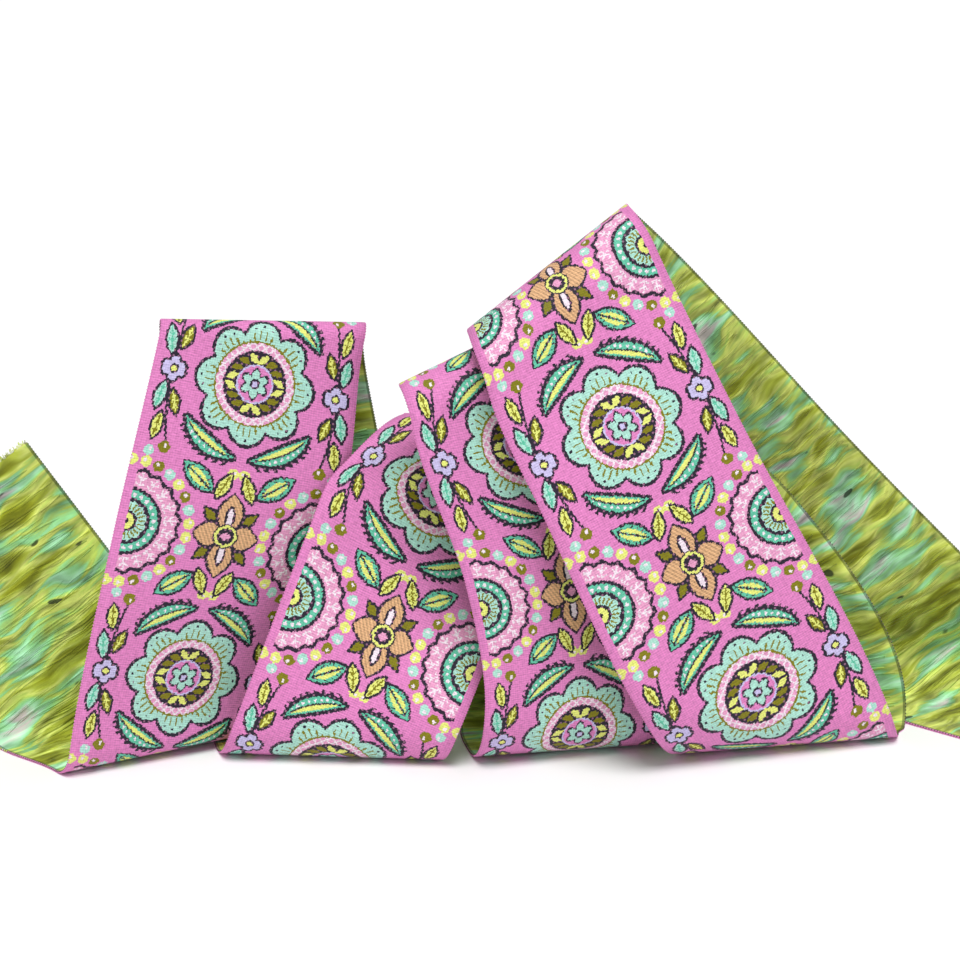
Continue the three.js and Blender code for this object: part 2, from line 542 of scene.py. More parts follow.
def lay_pearl_arc(plan, radius, turn, arc_radius, pitch, size):
    """Round pearls on an arc, in three colours, with a light spot on each."""
    beside = turn.repeated(pitch) * arc_radius
    outward = radius - arc_radius
    kind = (turn * (1 / pitch)).math("FLOOR").math("MODULO", 3.0)
    pearl = beside.reach(outward) < size
    plan.lay("lime", pearl)
    plan.lay("olive", pearl * (kind > 0.5))
    plan.lay("mint", pearl * (kind > 1.5))
    plan.lay("white", (beside + 0.3).reach(outward - 0.3) < size * 0.32)


print("the pattern repeats every", 2 * HALF_REPEAT, "mm")

# %% [markdown]
# The fan
#
# A fan opens from each selvedge between two rosettes, in rings that are worked
# out from the distance to its centre. Its fronds repeat by angle.

# %% Lay the fan
def lay_fan(plan, u, v):
    """A round fan that opens from the selvedge towards the middle."""
    x, y = HALF_REPEAT - u, MARGIN - v
    radius, turn = x.reach(y), y.turn(x)
    inside = v < MARGIN
    lay_pearl_arc(plan, radius, turn, 14.3, degrees(90 / 7), 1.3)
    beside = (turn.repeated(degrees(18)) * radius).size()
    plan.lay("navy", (radius + beside * 0.5 < 12.8) * inside)
    plan.lay("blush", (radius + beside * 0.5 < 11.9) * inside)
    plan.lay("white", (beside < 0.16) * ((radius - 10.0).size() < 1.5) * inside)
    barb = ((radius - beside * 0.9).repeated(1.5).size() < 0.28) * (beside < 1.1)
    plan.lay("white", barb * ((radius - 10.0).size() < 1.4) * inside)
    plan.lay("navy", (radius < 8.0) * inside)
    plan.lay("teal", (radius < 7.2) * inside)
    dots = turn.repeated(degrees(15)) * 6.3
    plan.lay("white", (dots.reach(radius - 6.3) < 0.42) * inside)
    plan.lay("navy", (radius < 5.5) * inside)
    petal = radius + (turn.repeated(degrees(30)) * radius).size() * 0.55
    plan.lay("mint", (petal < 4.9) * inside)
    stroke = (turn.repeated(degrees(15)) * radius).size()
    plan.lay("olive", (stroke < 0.2) * ((radius - 3.5).size() < 0.8) * inside)
    plan.lay("navy", (radius < 2.6) * inside)
    plan.lay("lime", (radius < 1.9) * inside)
    plan.lay("navy", (radius < 0.7) * inside)


# %% [markdown]
# The horn
#
# Four horns hug each rosette. A horn is a leaf bent round the rosette's
# centre, so its length is measured by angle and its thickness by distance.

# %% Lay the horn
def lay_horn(plan, u, v):
    """A horn that hugs the rosette, fringed along its back."""
    radius, turn = u.reach(v), v.turn(u)
    middle = 17.7
    swing = (turn - degrees(31)) * middle
    full = taper(swing, 7.6)
    fringe = (turn.repeated(degrees(5)) * 20.0 - (radius - 20.0) * 0.7).size() < 0.42
    plan.lay("navy", fringe * ((radius - middle - full * 1.5 - 1.0).size() < 0.8) * (full > 0.25))
    edge = (radius - middle).size() - full * 1.75
    plan.lay("navy", (edge < LINE * 0.9) * (full > -0.2))
    plan.lay("teal", edge < 0)
    plan.lay("lime", (edge < -0.45) * (radius < middle))
    plan.lay("navy", ((radius - middle).size() < 0.2) * (edge < -0.3))
    dots = turn.repeated(degrees(4.6)) * middle
    plan.lay("white", (dots.reach(radius - middle - 0.8) < 0.33) * (edge < -0.3))


# %% [markdown]
# The rosette
#
# The rosette is the largest figure. Its petals are one rounded edge, folded
# eight times round the centre, and the rings inside it are circles.

# %% Lay the rosette
def lay_rosette(plan, u, v):
    """The large rosette in the middle."""
    radius, turn = u.reach(v), v.turn(u)
    half_petal = degrees(22.5)
    petal = turn.folded(half_petal)
    edge = radius + (petal * (1 / half_petal)).math("POWER", 2.0) * 2.8
    plan.lay("navy", edge < 15.0)
    plan.lay("mint", edge < 14.1)
    stroke = (turn.repeated(degrees(7.5)) * radius).size()
    plan.lay("olive", (stroke < 0.22) * ((edge - 11.4).size() < 1.0) * (petal < 0.34))
    plan.lay("navy", (petal * 13.1).reach(radius - 13.1) < 0.32)
    plan.lay("navy", ((petal - 0.16) * 12.9).reach(radius - 12.6) < 0.27)
    plan.lay("olive", radius < 10.0)
    plan.lay("blush", radius < 9.5)
    lattice = (u + v).repeated(2.1).size().math("MINIMUM", (u - v).repeated(2.1).size())
    plan.lay("white", (lattice < 0.17) * (radius < 9.5))
    plan.lay("navy", radius < 7.7)
    beside = turn.repeated(half_petal) * 5.9
    lean, _, _ = leaf_shape(beside, radius - 5.9, (0, 0), 52, 3.2, 1.5)
    plan.lay("lime", lean < 0)
    plan.lay("olive", (lean < 0) * (turn.folded(half_petal * 2) > half_petal))
    plan.lay("lilac", radius < 4.5)
    plan.lay("pink", radius < 4.1)
    daisy = radius - (turn * 3).math("COSINE").size() * 1.5
    plan.lay("navy", daisy < 2.3)
    plan.lay("mint", daisy < 1.7)
    plan.lay("navy", radius < 1.15)
    plan.lay("lilac", radius < 0.7)


# %% [markdown]
# The blossom
#
# Halfway between two rosettes sits a blossom of four broad leaves, with four
# green ones between them.

# %% Lay the blossom
def lay_blossom(plan, u, v):
    """A four-petalled blossom between two rosettes."""
    x = HALF_REPEAT - u
    green, _, _ = leaf_shape(x, v, (4.0, 4.0), 45, 5.6, 2.0)
    plan.lay("navy", green < FINE_LINE)
    plan.lay("olive", green < 0)
    flat, _, _ = leaf_shape(x, v, (5.2, 0), 0, 9.4, 5.4)
    tall, _, _ = leaf_shape(x, v, (0, 4.0), 90, 7.0, 5.4)
    petals = flat.math("MINIMUM", tall)
    plan.lay("navy", petals < LINE * 0.8)
    plan.lay("peach", petals < 0)
    flat_heart, _, _ = leaf_shape(x, v, (4.6, 0), 0, 5.4, 2.0)
    plan.lay("navy", flat_heart < 0.3)
    plan.lay("white", flat_heart < -0.25)
    radius = x.reach(v)
    plan.lay("navy", radius < 3.0)
    plan.lay("lime", (radius - 2.3).size() < 0.3)
    plan.lay("blush", x.size() + v.size() < 1.2)


# %% [markdown]
# The sprigs
#
# Sprigs fill the spaces that are left, so no float on the back gets too long.

# %% Lay the sprigs
def lay_sprigs(plan, u, v):
    """Leaves and pearls in the spaces, and a small daisy beside each rosette."""
    stem = (v - 20.4 + u * u * 0.008).size()
    plan.lay("navy", (stem < 0.3) * (u < 17.5))
    lay_leaf(plan, u, v, (6.4, 21.9), 10, 6.4, 2.3, "mint", "teal")
    lay_leaf(plan, u, v, (7.4, 18.2), -20, 5.6, 2.1, "olive", "lime")
    lay_leaf(plan, u, v, (13.2, 21.1), 8, 6.0, 2.2, "lime", "olive")
    lay_pearl(plan, u - 17.9, v - 18.3, 1.4, "olive")
    lay_pearl(plan, u - 19.1, v - 21.6, 1.2, "mint")
    lay_pearl(plan, u - 21.3, v - 1.3, 1.3, "lime")
    edge, _, off = lay_leaf(plan, u, v, (23.2, 9.0), -52, 9.6, 4.4, "teal", "navy")
    plan.lay("lime", (edge < -0.9) * (off.size() > 0.3))
    lay_leaf(plan, u, v, (24.4, 2.9), 24, 6.4, 2.4, "lime", "olive")
    radius, turn = u.reach(v - 20.0), (v - 20.0).turn(u)
    daisy = radius - (turn * 2.5).math("COSINE").size() * 0.9
    plan.lay("navy", daisy < 2.6)
    plan.lay("lilac", daisy < 1.95)
    plan.lay("navy", radius < 1.1)
    plan.lay("lime", radius < 0.7)


# %% [markdown]
# The patterned face
#
# Along and across are snapped to the threads, 0.3 mm apart, so every edge in
# the pattern takes the small steps that woven edges have. Over that go the
# grain of the plain weave, a twill in the peach petals, and fine points where
# navy threads are tied down. The ribs and cords of the weave also darken the
# colour towards the gaps between threads, which is painted shade. All the relief here is far thinner than
# a
# thread, so it is a bump and not geometry. The bump follows the threads
# alone: the plan is long, and a bump works out its height thrice.

# %% Make the patterned face
THREAD = 0.3
RIB = 0.55
CORD = 0.6
PATTERN_START = 31.0


def flat_fields(tree, vector):
    """Distances along and across the flat ribbon, in mm."""
    split = add_node(tree, "ShaderNodeSeparateXYZ", {0: vector})
    return Field(tree, split.outputs[0]) * REACH, Field(tree, split.outputs[1]) * WIDTH


def noise_field(tree, along, across, along_size, across_size, detail=2.0):
    """Soft random values from 0 to 1, of a size given in mm each way."""
    place = add_node(tree, "ShaderNodeCombineXYZ",
                     {0: along * (1 / along_size), 1: across * (1 / across_size)})
    noise = add_node(tree, "ShaderNodeTexNoise",
                     {"Vector": place.outputs[0], "Scale": 1.0, "Detail": detail})
    return Field(tree, noise.outputs[0])


def make_patterned_face():
    """The outside of the ribbon."""
    material, tree, shader = material_with("patterned_face")
    weave = add_node(tree, "ShaderNodeUVMap", uv_map="weave")
    along, across = flat_fields(tree, weave.outputs[0])
    wobble = noise_field(tree, along, across, 0.7, 0.7, detail=0.0) * 0.5 - 0.25
    u = (along + wobble + PATTERN_START).snapped(THREAD).folded(HALF_REPEAT)
    v = (across + wobble - WIDTH / 2).snapped(THREAD).size()
    plan = Plan(tree, "pink")
    lay_sprigs(plan, u, v)
    lay_horn(plan, u, v)
    lay_fan(plan, u, v)
    lay_blossom(plan, u, v)
    lay_rosette(plan, u, v)

    number = plan.number
    is_navy = (number - NUMBER["navy"]).size() < 0.5
    is_peach = (number - NUMBER["peach"]).size() < 0.5
    twill = (along * 0.6 + across).repeated(0.95) > 0
    ties = (along.repeated(1.2).reach(across.repeated(1.2)) < 0.26) * is_navy
    grain = noise_field(tree, along, across, 0.4, 1.1, detail=1.0)
    cloudy = noise_field(tree, along, across, 25, 18, detail=1.0)
    ribs = along.repeated(RIB).size() * (2 / RIB)
    cords = across.repeated(CORD).size() * (2 / CORD)
    # Painted shade: ribs and cords darken the colour in the gaps between threads. Grain and cloudy are
    # random tone of the yarn.
    shade = grain * 0.7 + cloudy * 0.1 + 0.67 - ribs * 0.2 - cords * 0.12 - twill * is_peach * 0.26
    tint = add_node(tree, "ShaderNodeCombineColor", {0: shade, 1: shade, 2: shade})
    cloth = add_node(tree, "ShaderNodeMix", {0: 1.0, 6: yarn_ramp(tree, number), 7: tint.outputs[0]},
                     data_type="RGBA", blend_type="MULTIPLY")
    tied = add_node(tree, "ShaderNodeMix", {0: ties * 0.3, 6: cloth.outputs[2],
                    7: screen_colour(*YARNS["blush"])}, data_type="RGBA")
    tree.links.new(tied.outputs[2], shader.inputs["Base Color"])

    relief = grain * 0.6 - ribs * 0.4 - cords * 0.3
    bump = add_node(tree, "ShaderNodeBump", {"Height": relief, "Strength": 0.5, "Distance": 0.15 * MM})
    tree.links.new(bump.outputs[0], shader.inputs["Normal"])
    shader.inputs["Roughness"].default_value = 0.62
    shader.inputs["Specular IOR Level"].default_value = 0.3
    shader.inputs["Sheen Weight"].default_value = 0.1
    shader.inputs["Sheen Roughness"].default_value = 0.4
    return material


patterned_face = make_patterned_face()
print("patterned face:", len(patterned_face.node_tree.nodes), "nodes")

# %% [markdown]
# The inner face
#
# Behind the cloth each coloured thread floats loose between the places where
# it shows on the front. The eye sees long soft streaks of olive, lime and
# mint that run from selvedge to selvedge. The colour comes from noise that is
# stretched across the ribbon. The loose threads use the same colours, from
# their own place in the flat ribbon.

# %% Make the inner face
FLOAT_COLOURS = [
    (0.0, (100, 104, 8)),
    (0.2, (140, 146, 26)),
    (0.34, (176, 188, 70)),
    (0.46, (216, 226, 124)),
    (0.54, (184, 208, 100)),
    (0.63, (150, 216, 152)),
    (0.76, (180, 236, 204)),
    (0.9, (216, 206, 212)),
]
KNOT_COLOUR = (30, 44, 26)
SELVEDGE_LINE = 0.5


def float_colour(tree, vector):
    """Streaks of colour, and the fibre field they are made from."""
    along, across = flat_fields(tree, vector)
    wander = noise_field(tree, along, across, 10, 16, detail=1.0)
    drawn = along + wander * 8
    patch = noise_field(tree, drawn, across, 7.5, 24, detail=1.0)
    streak = noise_field(tree, drawn, across, 1.9, 15, detail=2.0)
    fibre = noise_field(tree, drawn, across, 0.4, 10, detail=2.0)
    spread = (patch - 0.5) * 1.8 + (streak - 0.5) * 0.8 + (fibre - 0.5) * 0.1 + 0.5
    node = add_node(tree, "ShaderNodeValToRGB", {0: spread})
    ramp = node.color_ramp
    while len(ramp.elements) < len(FLOAT_COLOURS):
        ramp.elements.new(1)
    for element, (position, colour) in zip(ramp.elements, FLOAT_COLOURS):
        element.position = position
        element.color = screen_colour(*colour)
    knots = noise_field(tree, drawn, across, 3, 7, detail=0.0)
    rim = ((across - WIDTH / 2).size() > WIDTH / 2 - SELVEDGE_LINE) * 0.6
    dark = ((knots - 0.79) * 30).math("MINIMUM", 0.88).math("MAXIMUM", rim)
    shadow = noise_field(tree, drawn, across, 2.4, 11, detail=2.0)
    shade = fibre * 0.2 + shadow * 2.2 - 0.36
    tint = add_node(tree, "ShaderNodeCombineColor", {0: shade, 1: shade, 2: shade * 0.9})
    shaded = add_node(tree, "ShaderNodeMix", {0: 1.0, 6: node.outputs[0], 7: tint.outputs[0]},
                      data_type="RGBA", blend_type="MULTIPLY")
    inked = add_node(tree, "ShaderNodeMix", {0: dark, 6: shaded.outputs[2],
                     7: screen_colour(*KNOT_COLOUR)}, data_type="RGBA")
    return inked.outputs[2], fibre


def make_float_material(name, kind, output, roughness, **settings):
    """A material of loose threads. One output of a node gives the flat place."""
    material, tree, shader = material_with(name)
    source = add_node(tree, kind, **settings)
    colour, fibre = float_colour(tree, source.outputs[output])
    tree.links.new(colour, shader.inputs["Base Color"])
    bump = add_node(tree, "ShaderNodeBump", {"Height": fibre, "Strength": 0.3, "Distance": 0.2 * MM})
    tree.links.new(bump.outputs[0], shader.inputs["Normal"])
    shader.inputs["Roughness"].default_value = roughness
    shader.inputs["Specular IOR Level"].default_value = 0.25
    shader.inputs["Sheen Weight"].default_value = 0.2
    return material


inner_face = make_float_material("inner_face", "ShaderNodeUVMap", "UV", 0.8, uv_map="weave")
loose_threads = make_float_material("loose_threads", "ShaderNodeAttribute", "Vector", 0.7,
                                    attribute_name="lay")
ribbon.data.materials.append(patterned_face)
ribbon.data.materials.append(inner_face)
for face in ribbon.data.polygons:
    spots = [vertex % ring_size for vertex in face.vertices]
    face.material_index = 1 if COLUMNS < min(spots) and max(spots) <= 2 * COLUMNS + 2 else 0
print("inner faces:", sum(face.material_index for face in ribbon.data.polygons))

# %% [markdown]
# The threads of the flat ribbon
#
# Geometry Nodes lay threads out on the flat ribbon first, as the loom does,
# and then carry every point to its place on the folds. There x runs along the
# ribbon, y across it, and z up from the inner face to the patterned one.
# Sample UV Surface finds the place on the folds: it asks where on a sheet the
# UV map has the point's flat place. That sheet is the inner face, drawn a
# little past the selvedges and the cut ends.

# %% The sheet that carries the threads
BESIDE = 0.03
BEYOND = 4.0

lay_shares = np.concatenate([[-BESIDE], np.linspace(0, 1, COLUMNS + 1), [1 + BESIDE]])
last_row = len(sections) - 1
lay_rows = [(0, -BEYOND), *((index, 0.0) for index in range(len(sections))), (last_row, BEYOND)]
lay_points = []
lay_places = []
for index, farther in lay_rows:
    for share in lay_shares:
        heading = unit(edge_headings[index].mean(axis=0))
        lay_points.append(surface_point(index, share, INSIDE) + heading * farther)
        u, v = flat_place(index, share)
        lay_places.append((u + farther / REACH, v))
per_row = len(lay_shares)
lay_faces = []
for row in range(len(lay_rows) - 1):
    for column in range(per_row - 1):
        here = row * per_row + column
        lay_faces.append((here, here + 1, here + per_row + 1, here + per_row))
lay_sheet = mesh_object("lay_sheet", (np.array(lay_points) + SHIFT) * MM, lay_faces, lay_places)
print("sheet to lay threads on:", len(lay_faces), "faces")


# %% Helpers for trees of geometry nodes
THREAD_POINTS = 6


def new_tree(name, sockets):
    """A tree with named inputs, each with its kind and first value."""
    tree = bpy.data.node_groups.new(name, "GeometryNodeTree")
    tree.interface.new_socket("Geometry", in_out="INPUT", socket_type="NodeSocketGeometry")
    tree.interface.new_socket("Geometry", in_out="OUTPUT", socket_type="NodeSocketGeometry")
    for label, (kind, value) in sockets.items():
        socket = tree.interface.new_socket(label, in_out="INPUT", socket_type="NodeSocket" + kind)
        if value is not None:
            socket.default_value = value
    return tree, tree.nodes.new("NodeGroupInput").outputs


def mixed(tree, operation, *values):
    """The result of one Math node."""
    return add_node(tree, "ShaderNodeMath", dict(enumerate(values)), operation=operation).outputs[0]


def random_value(tree, low, high, seed):
    """A random number for each point or instance."""
    return add_node(tree, "FunctionNodeRandomValue", {2: low, 3: high, "Seed": seed}).outputs[1]


def arrow(tree, x=0.0, y=0.0, z=0.0):
    return add_node(tree, "ShaderNodeCombineXYZ", {0: x, 1: y, 2: z}).outputs[0]


def named_value(tree, name, kind="FLOAT"):
    """A value that was stored under a name."""
    return add_node(tree, "GeometryNodeInputNamedAttribute", {"Name": name}, data_type=kind).outputs[0]


def stored(tree, geometry, name, value, kind="FLOAT"):
    """The geometry, with a value stored on its points under a name."""
    inputs = {"Geometry": geometry, "Name": name, "Value": value}
    return add_node(tree, "GeometryNodeStoreNamedAttribute", inputs,
                    data_type=kind, domain="POINT").outputs[0]


def straight_thread(tree, start, end):
    """A line of a few points, and each point's share of the way along it."""
    line = add_node(tree, "GeometryNodeCurvePrimitiveLine", {"Start": start, "End": end})
    thread = add_node(tree, "GeometryNodeResampleCurve",
                      {"Curve": line.outputs[0], "Count": THREAD_POINTS})
    factor = add_node(tree, "GeometryNodeSplineParameter")
    return thread.outputs[0], factor.outputs["Factor"]


def swaying(tree, given, waves, detail):
    """Soft random shifts to either side. waves says how fast they change each way."""
    place = add_node(tree, "GeometryNodeInputPosition").outputs[0]
    squeezed = add_node(tree, "ShaderNodeVectorMath", {0: place, 1: waves}, operation="MULTIPLY")
    wave = add_node(tree, "ShaderNodeTexNoise",
                    {"Vector": squeezed.outputs[0], "Scale": 1.0, "Detail": detail})
    return mixed(tree, "MULTIPLY", mixed(tree, "SUBTRACT", wave.outputs[0], 0.5), given["Sway"])


# %% [markdown]
# From the flat ribbon to the folds
#
# Each piece below ends with the same nodes. They find a point's place on the
# sheet, move the point there, lift it by its z, and sweep a small circle along
# the curves. The flat place is stored as "lay", for the materials.

# %% Fold threads and keep plain meshes
def sheet_value(tree, sheet, kind, weave, flat):
    """A value of the sheet at a flat place, and whether the sheet reaches it."""
    value = add_node(tree, kind)
    node = add_node(tree, "GeometryNodeSampleUVSurface",
                    {"Mesh": sheet, "Value": value.outputs[0], "UV Map": weave, "Sample UV": flat},
                    data_type="FLOAT_VECTOR")
    return node.outputs["Value"], node.outputs["Is Valid"]


def fold_threads(tree, given, curves, thinning, sides):
    """Carries curves from the flat ribbon to its folds and gives them thickness."""
    place = add_node(tree, "GeometryNodeInputPosition").outputs[0]
    height = add_node(tree, "ShaderNodeSeparateXYZ", {0: place}).outputs[2]
    flat = add_node(tree, "ShaderNodeVectorMath",
                    {0: place, 1: (1 / (REACH * MM), 1 / (WIDTH * MM), 1 / MM)}, operation="MULTIPLY")
    weave = named_value(tree, "weave", "FLOAT_VECTOR")
    sheet = given["Geometry"]
    spot, found = sheet_value(tree, sheet, "GeometryNodeInputPosition", weave, flat.outputs[0])
    normal, _ = sheet_value(tree, sheet, "GeometryNodeInputNormal", weave, flat.outputs[0])
    offset = add_node(tree, "ShaderNodeVectorMath", {0: normal, "Scale": height}, operation="SCALE")
    marked = stored(tree, curves, "lay", flat.outputs[0], "FLOAT_VECTOR")
    missing = add_node(tree, "FunctionNodeBooleanMath", {0: found}, operation="NOT")
    clean = add_node(tree, "GeometryNodeDeleteGeometry",
                     {"Geometry": marked, "Selection": missing.outputs[0]}, domain="POINT")
    folded = add_node(tree, "GeometryNodeSetPosition",
                      {"Geometry": clean.outputs[0], "Position": spot, "Offset": offset.outputs[0]})
    sized = add_node(tree, "GeometryNodeSetCurveRadius", {"Curve": folded.outputs[0], "Radius": thinning})
    circle = add_node(tree, "GeometryNodeCurvePrimitiveCircle",
                      {"Resolution": sides, "Radius": given["Thread Radius"]})
    tube = add_node(tree, "GeometryNodeCurveToMesh",
                    {"Curve": sized.outputs[0], "Profile Curve": circle.outputs[0], "Fill Caps": True})
    smooth = add_node(tree, "GeometryNodeSetShadeSmooth",
                      {"Geometry": tube.outputs[0], "Shade Smooth": True})
    whole = add_node(tree, "GeometryNodeRealizeInstances", {0: smooth.outputs[0]})
    dressed = add_node(tree, "GeometryNodeSetMaterial",
                       {"Geometry": whole.outputs[0], "Material": given["Material"]})
    add_node(tree, "NodeGroupOutput", {0: dressed.outputs[0]})


def plain_mesh(piece, tree, material, name):
    """Runs a tree on a mesh and keeps the result as a plain mesh object."""
    modifier = piece.modifiers.new(tree.name, "NODES")
    modifier.node_group = tree
    for item in tree.interface.items_tree:
        if item.name == "Material":
            modifier[item.identifier] = material
    bpy.context.view_layer.update()
    graph = bpy.context.evaluated_depsgraph_get()
    mesh = bpy.data.meshes.new_from_object(piece.evaluated_get(graph))
    piece.modifiers.remove(modifier)
    mesh.name = name
    result = bpy.data.objects.new(name, mesh)
    bpy.context.scene.collection.objects.link(result)
    print(name + ":", sum(len(face.vertices) - 2 for face in mesh.polygons), "triangles")
    return result


# %% [markdown]
# Loose threads
#
# On the real ribbon the spare weft floats from one place where it is needed
# to the next, and lies loose in between. Short lines that run across the
# ribbon are scattered over it. Each starts and ends inside the cloth and comes
# out of it in between. INSET keeps them off the cuts, and HEM off the
# selvedges. They could be combed hair curves, but tubes keep their shape in
# every program that opens the part.

# %% Lay the loose threads
INSET = 2.0
HEM = 0.4
FLOAT_WAVES = (150, 70, 0)


def loose_thread_tree():
    """Threads that float over the inner face."""
    tree, given = new_tree("loose threads", {
        "Density": ("Float", 75000.0),
        "Thread Length": ("Float", 18 * MM),
        "Thread Radius": ("Float", 0.3 * MM),
        "Depth": ("Float", 0.2 * MM),
        "Lift": ("Float", 0.2 * MM),
        "Sway": ("Float", 4.0 * MM),
        "Seed": ("Int", 4),
        "Material": ("Material", None),
    })
    length = REACH - 2 * (START_SLACK + INSET)
    flat = add_node(tree, "GeometryNodeMeshGrid", {"Size X": length * MM, "Size Y": WIDTH * MM,
                    "Vertices X": 2, "Vertices Y": 2})
    moved = add_node(tree, "GeometryNodeTransform", {"Geometry": flat.outputs["Mesh"],
                     "Translation": (REACH * MM / 2, WIDTH * MM / 2, 0)})
    spots = add_node(tree, "GeometryNodeDistributePointsOnFaces",
                     {"Mesh": moved.outputs[0], "Density": given["Density"], "Seed": given["Seed"]})
    thread, factor = straight_thread(tree, (0, -0.5, 0), (0, 0.5, 0))
    half_turn = mixed(tree, "MULTIPLY", factor, math.pi)
    arch = mixed(tree, "MAXIMUM", mixed(tree, "SINE", half_turn), 0.0)
    reach = mixed(tree, "MULTIPLY", random_value(tree, 0.5, 1.4, given["Seed"]), given["Thread Length"])
    placed = add_node(tree, "GeometryNodeInstanceOnPoints",
                      {"Points": spots.outputs["Points"], "Instance": stored(tree, thread, "arch", arch),
                       "Rotation": arrow(tree, z=random_value(tree, -0.06, 0.06, given["Seed"])),
                       "Scale": arrow(tree, 1.0, reach, 1.0)})
    single = add_node(tree, "GeometryNodeRealizeInstances", {0: placed.outputs[0]})

    aside = swaying(tree, given, FLOAT_WAVES, 1.0)
    arched = named_value(tree, "arch")
    slack = random_value(tree, 0.2, 1.0, given["Seed"])
    rise = mixed(tree, "MULTIPLY", mixed(tree, "MULTIPLY", arched, given["Lift"]), slack)
    wavy = add_node(tree, "GeometryNodeSetPosition",
                    {"Geometry": single.outputs[0],
                     "Offset": arrow(tree, x=aside, z=mixed(tree, "SUBTRACT", given["Depth"], rise))})
    half = WIDTH / 2 * MM
    place = add_node(tree, "GeometryNodeInputPosition").outputs[0]
    y = add_node(tree, "ShaderNodeSeparateXYZ", {0: place}).outputs[1]
    off_middle = mixed(tree, "ABSOLUTE", mixed(tree, "SUBTRACT", y, half))
    outside = mixed(tree, "GREATER_THAN", off_middle, half - HEM * MM)
    kept = add_node(tree, "GeometryNodeDeleteGeometry",
                    {"Geometry": wavy.outputs[0], "Selection": outside}, domain="POINT")
    fold_threads(tree, given, kept.outputs[0], mixed(tree, "MULTIPLY_ADD", arched, 0.8, 0.25), 4)
    return tree


threads = plain_mesh(lay_sheet, loose_thread_tree(), loose_threads, "loose_threads")

# %% [markdown]
# Selvedges
#
# Along both edges each weft thread turns back round the last warp thread, so
# the edge is a row of tiny bends. Seen from the front they are pink, and from
# inside the loops dark green. One bend is an arc. It repeats along both edges
# of the flat ribbon. A bump would be cheaper, but the bends show against a
# white background, where only geometry changes the outline.

# %% Turn the weft at the selvedges
TURN_HEIGHT = 0.27
QUARTER_TURN = math.pi / 2
BEHIND_COLOUR = (58, 76, 40)


def make_selvedge_material():
    """Pink turns on the patterned side and dark green ones behind."""
    material, tree, shader = material_with("selvedge_turns")
    lay = add_node(tree, "ShaderNodeAttribute", attribute_name="lay")
    split = add_node(tree, "ShaderNodeSeparateXYZ", {0: lay.outputs["Vector"]})
    front = Field(tree, split.outputs[2]) > TURN_HEIGHT
    coloured = add_node(tree, "ShaderNodeMix", {0: front.socket, 6: screen_colour(*BEHIND_COLOUR),
                        7: screen_colour(*YARNS["pink"])}, data_type="RGBA")
    tree.links.new(coloured.outputs[2], shader.inputs["Base Color"])
    shader.inputs["Roughness"].default_value = 0.65
    return material


def selvedge_tree():
    """Bends of the weft round both edges."""
    tree, given = new_tree("selvedge turns", {
        "Pitch": ("Float", 0.75 * MM),
        "Turn Radius": ("Float", 0.16 * MM),
        "Thread Radius": ("Float", 0.17 * MM),
        "Material": ("Material", None),
    })
    arc = add_node(tree, "GeometryNodeCurveArc",
                   {"Resolution": 5, "Radius": given["Turn Radius"],
                    "Start Angle": QUARTER_TURN, "Sweep Angle": 2 * QUARTER_TURN}, mode="RADIUS")
    joined = add_node(tree, "GeometryNodeJoinGeometry")
    for y, side in ((0, 1), (WIDTH * MM, -1)):
        edge = add_node(tree, "GeometryNodeCurvePrimitiveLine",
                        {"Start": (START_SLACK * MM, y, TURN_HEIGHT * MM),
                         "End": ((REACH - START_SLACK) * MM, y, TURN_HEIGHT * MM)})
        spots = add_node(tree, "GeometryNodeCurveToPoints",
                         {"Curve": edge.outputs[0], "Length": given["Pitch"]}, mode="LENGTH")
        turns = add_node(tree, "GeometryNodeInstanceOnPoints",
                         {"Points": spots.outputs["Points"], "Instance": arc.outputs["Curve"],
                          "Rotation": (QUARTER_TURN, 0, side * QUARTER_TURN)})
        tree.links.new(turns.outputs[0], joined.inputs[0])
    single = add_node(tree, "GeometryNodeRealizeInstances", {0: joined.outputs[0]})
    fold_threads(tree, given, single.outputs[0], 1.0, 4)
    return tree


turns = plain_mesh(lay_sheet, selvedge_tree(), make_selvedge_material(), "selvedge_turns")

# %% [markdown]
# Cut ends
#
# Where the ribbon is cut, the warp ends come loose by about a millimetre.
# They are short lines again, of random length, that start inside the cloth
# and sway more the farther they stick out. CUT_EDGES keeps the outermost ones
# just inside the selvedges.

# %% Fray the cut ends
CUT_HEIGHT = 0.25
CUT_EDGES = (0.004, 0.996)
FRAY_WAVES = (900, 900, 900)


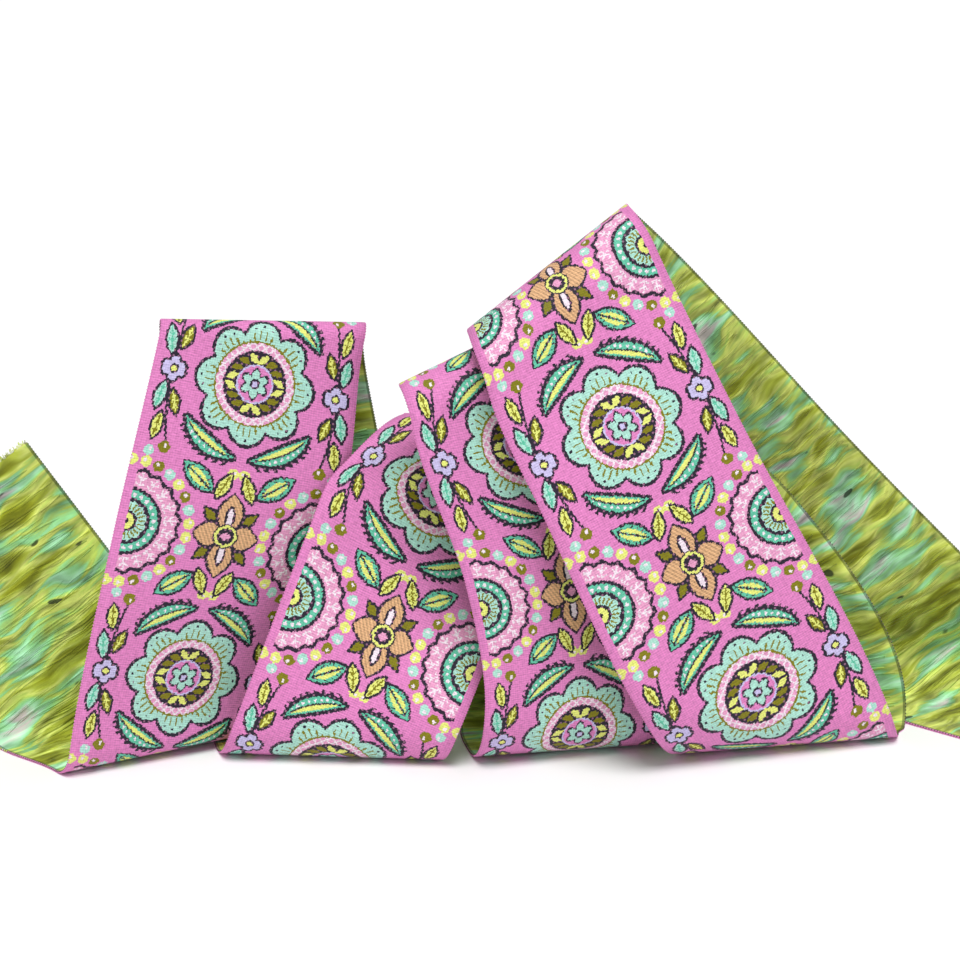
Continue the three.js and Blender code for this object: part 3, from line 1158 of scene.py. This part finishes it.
def frayed_end_tree():
    """Ends of warp threads past both cuts."""
    tree, given = new_tree("frayed ends", {
        "Pitch": ("Float", 0.25 * MM),
        "Thread Radius": ("Float", 0.12 * MM),
        "Sway": ("Float", 1.2 * MM),
        "Seed": ("Int", 7),
        "Material": ("Material", None),
    })
    thread, factor = straight_thread(tree, (-0.5, 0, 0), (1, 0, 0))
    marked = stored(tree, thread, "out", factor)
    joined = add_node(tree, "GeometryNodeJoinGeometry")
    for index, away in ((0, -1), (last_row, 1)):
        corners = [(flat_place(index, share)[0] * REACH * MM, share * WIDTH * MM, CUT_HEIGHT * MM)
                   for share in CUT_EDGES]
        cut = add_node(tree, "GeometryNodeCurvePrimitiveLine", {"Start": corners[0], "End": corners[1]})
        spots = add_node(tree, "GeometryNodeCurveToPoints",
                         {"Curve": cut.outputs[0], "Length": given["Pitch"]}, mode="LENGTH")
        length = mixed(tree, "MULTIPLY", random_value(tree, 0.3, 1.2, given["Seed"]), away * MM)
        ends = add_node(tree, "GeometryNodeInstanceOnPoints",
                        {"Points": spots.outputs["Points"], "Instance": marked,
                         "Scale": arrow(tree, length, 1.0, 1.0)})
        tree.links.new(ends.outputs[0], joined.inputs[0])
    single = add_node(tree, "GeometryNodeRealizeInstances", {0: joined.outputs[0]})

    out = named_value(tree, "out")
    aside = mixed(tree, "MULTIPLY", swaying(tree, given, FRAY_WAVES, 0.0), out)
    loose = add_node(tree, "GeometryNodeSetPosition",
                     {"Geometry": single.outputs[0], "Offset": arrow(tree, y=aside)})
    fold_threads(tree, given, loose.outputs[0], mixed(tree, "MULTIPLY_ADD", out, -0.5, 1.0), 3)
    return tree


frays = plain_mesh(lay_sheet, frayed_end_tree(), loose_threads, "frayed_ends")

# %% [markdown]
# Camera, light and surface
#
# The photo looks at the ribbon from the front and a little above, from far
# enough for almost no perspective. The light is soft and even, a little
# stronger from above, and the surface is plain and pale. Large lamps could
# give such a light too, but they fade with distance, and a wide sun and a
# white sky do not.

# %% Set up the camera
VIEW_HEIGHT = 65.8 * MM
VIEW_DISTANCE = 564 * MM
VIEW_ANGLE = math.radians(15)
LENS = 90
FILM_WIDTH = 36
aim = Vector((SHIFT[0] * MM, SHIFT[1] * MM, VIEW_HEIGHT))
camera_data = bpy.data.cameras.new("camera")
camera_data.lens = LENS
camera_data.sensor_width = FILM_WIDTH
camera_data.clip_start = 0.01
camera = bpy.data.objects.new("camera", camera_data)
camera.location = aim + Vector((0, -math.cos(VIEW_ANGLE), math.sin(VIEW_ANGLE))) * VIEW_DISTANCE
camera.rotation_euler = (math.radians(90) - VIEW_ANGLE, 0, 0)
bpy.context.scene.collection.objects.link(camera)
bpy.context.scene.camera = camera
print("camera at", [round(value / MM) for value in camera.location], "mm")


# %% Set up the light and the surface
LIGHT_FROM = Vector((0.0, -0.42, 0.9))
LIGHT_STRENGTH = 2.4
LIGHT_ANGLE = math.radians(30)
SKY_STRENGTH = 0.45
SURFACE_WHITE = 0.95
SURFACE_SIZE = 60
light_data = bpy.data.lights.new("soft_light", "SUN")
light_data.energy = LIGHT_STRENGTH
light_data.angle = LIGHT_ANGLE
light = bpy.data.objects.new("soft_light", light_data)
light.rotation_euler = LIGHT_FROM.to_track_quat("Z", "Y").to_euler()
bpy.context.scene.collection.objects.link(light)

world = bpy.data.worlds.new("studio")
world.use_nodes = True
world.node_tree.nodes["Background"].inputs["Color"].default_value = (1, 1, 1, 1)
world.node_tree.nodes["Background"].inputs["Strength"].default_value = SKY_STRENGTH
bpy.context.scene.world = world
bpy.context.scene.view_settings.view_transform = "Standard"

surface_material, _, surface_shader = material_with("pale_surface")
surface_shader.inputs["Base Color"].default_value = (*[SURFACE_WHITE] * 3, 1)
surface_shader.inputs["Roughness"].default_value = 0.9
bpy.ops.mesh.primitive_plane_add(size=SURFACE_SIZE)
surface = bpy.context.active_object
surface.name = "surface"
surface.data.materials.append(surface_material)
print("lights and surface ready")

# %% [markdown]
# The piece on its body
#
# The cloth and what is on it ride on the one body and replace the plain
# solid.

# %% Ride, replace and finish
bpy.data.objects.remove(lay_sheet)
on_the_cloth = [threads, turns, frays]
for piece in (ribbon, *on_the_cloth):
    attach(piece, "root")
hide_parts("ribbon")

print("cad box", [round(v / MM, 1) for v in (*cad_low, *cad_high)])
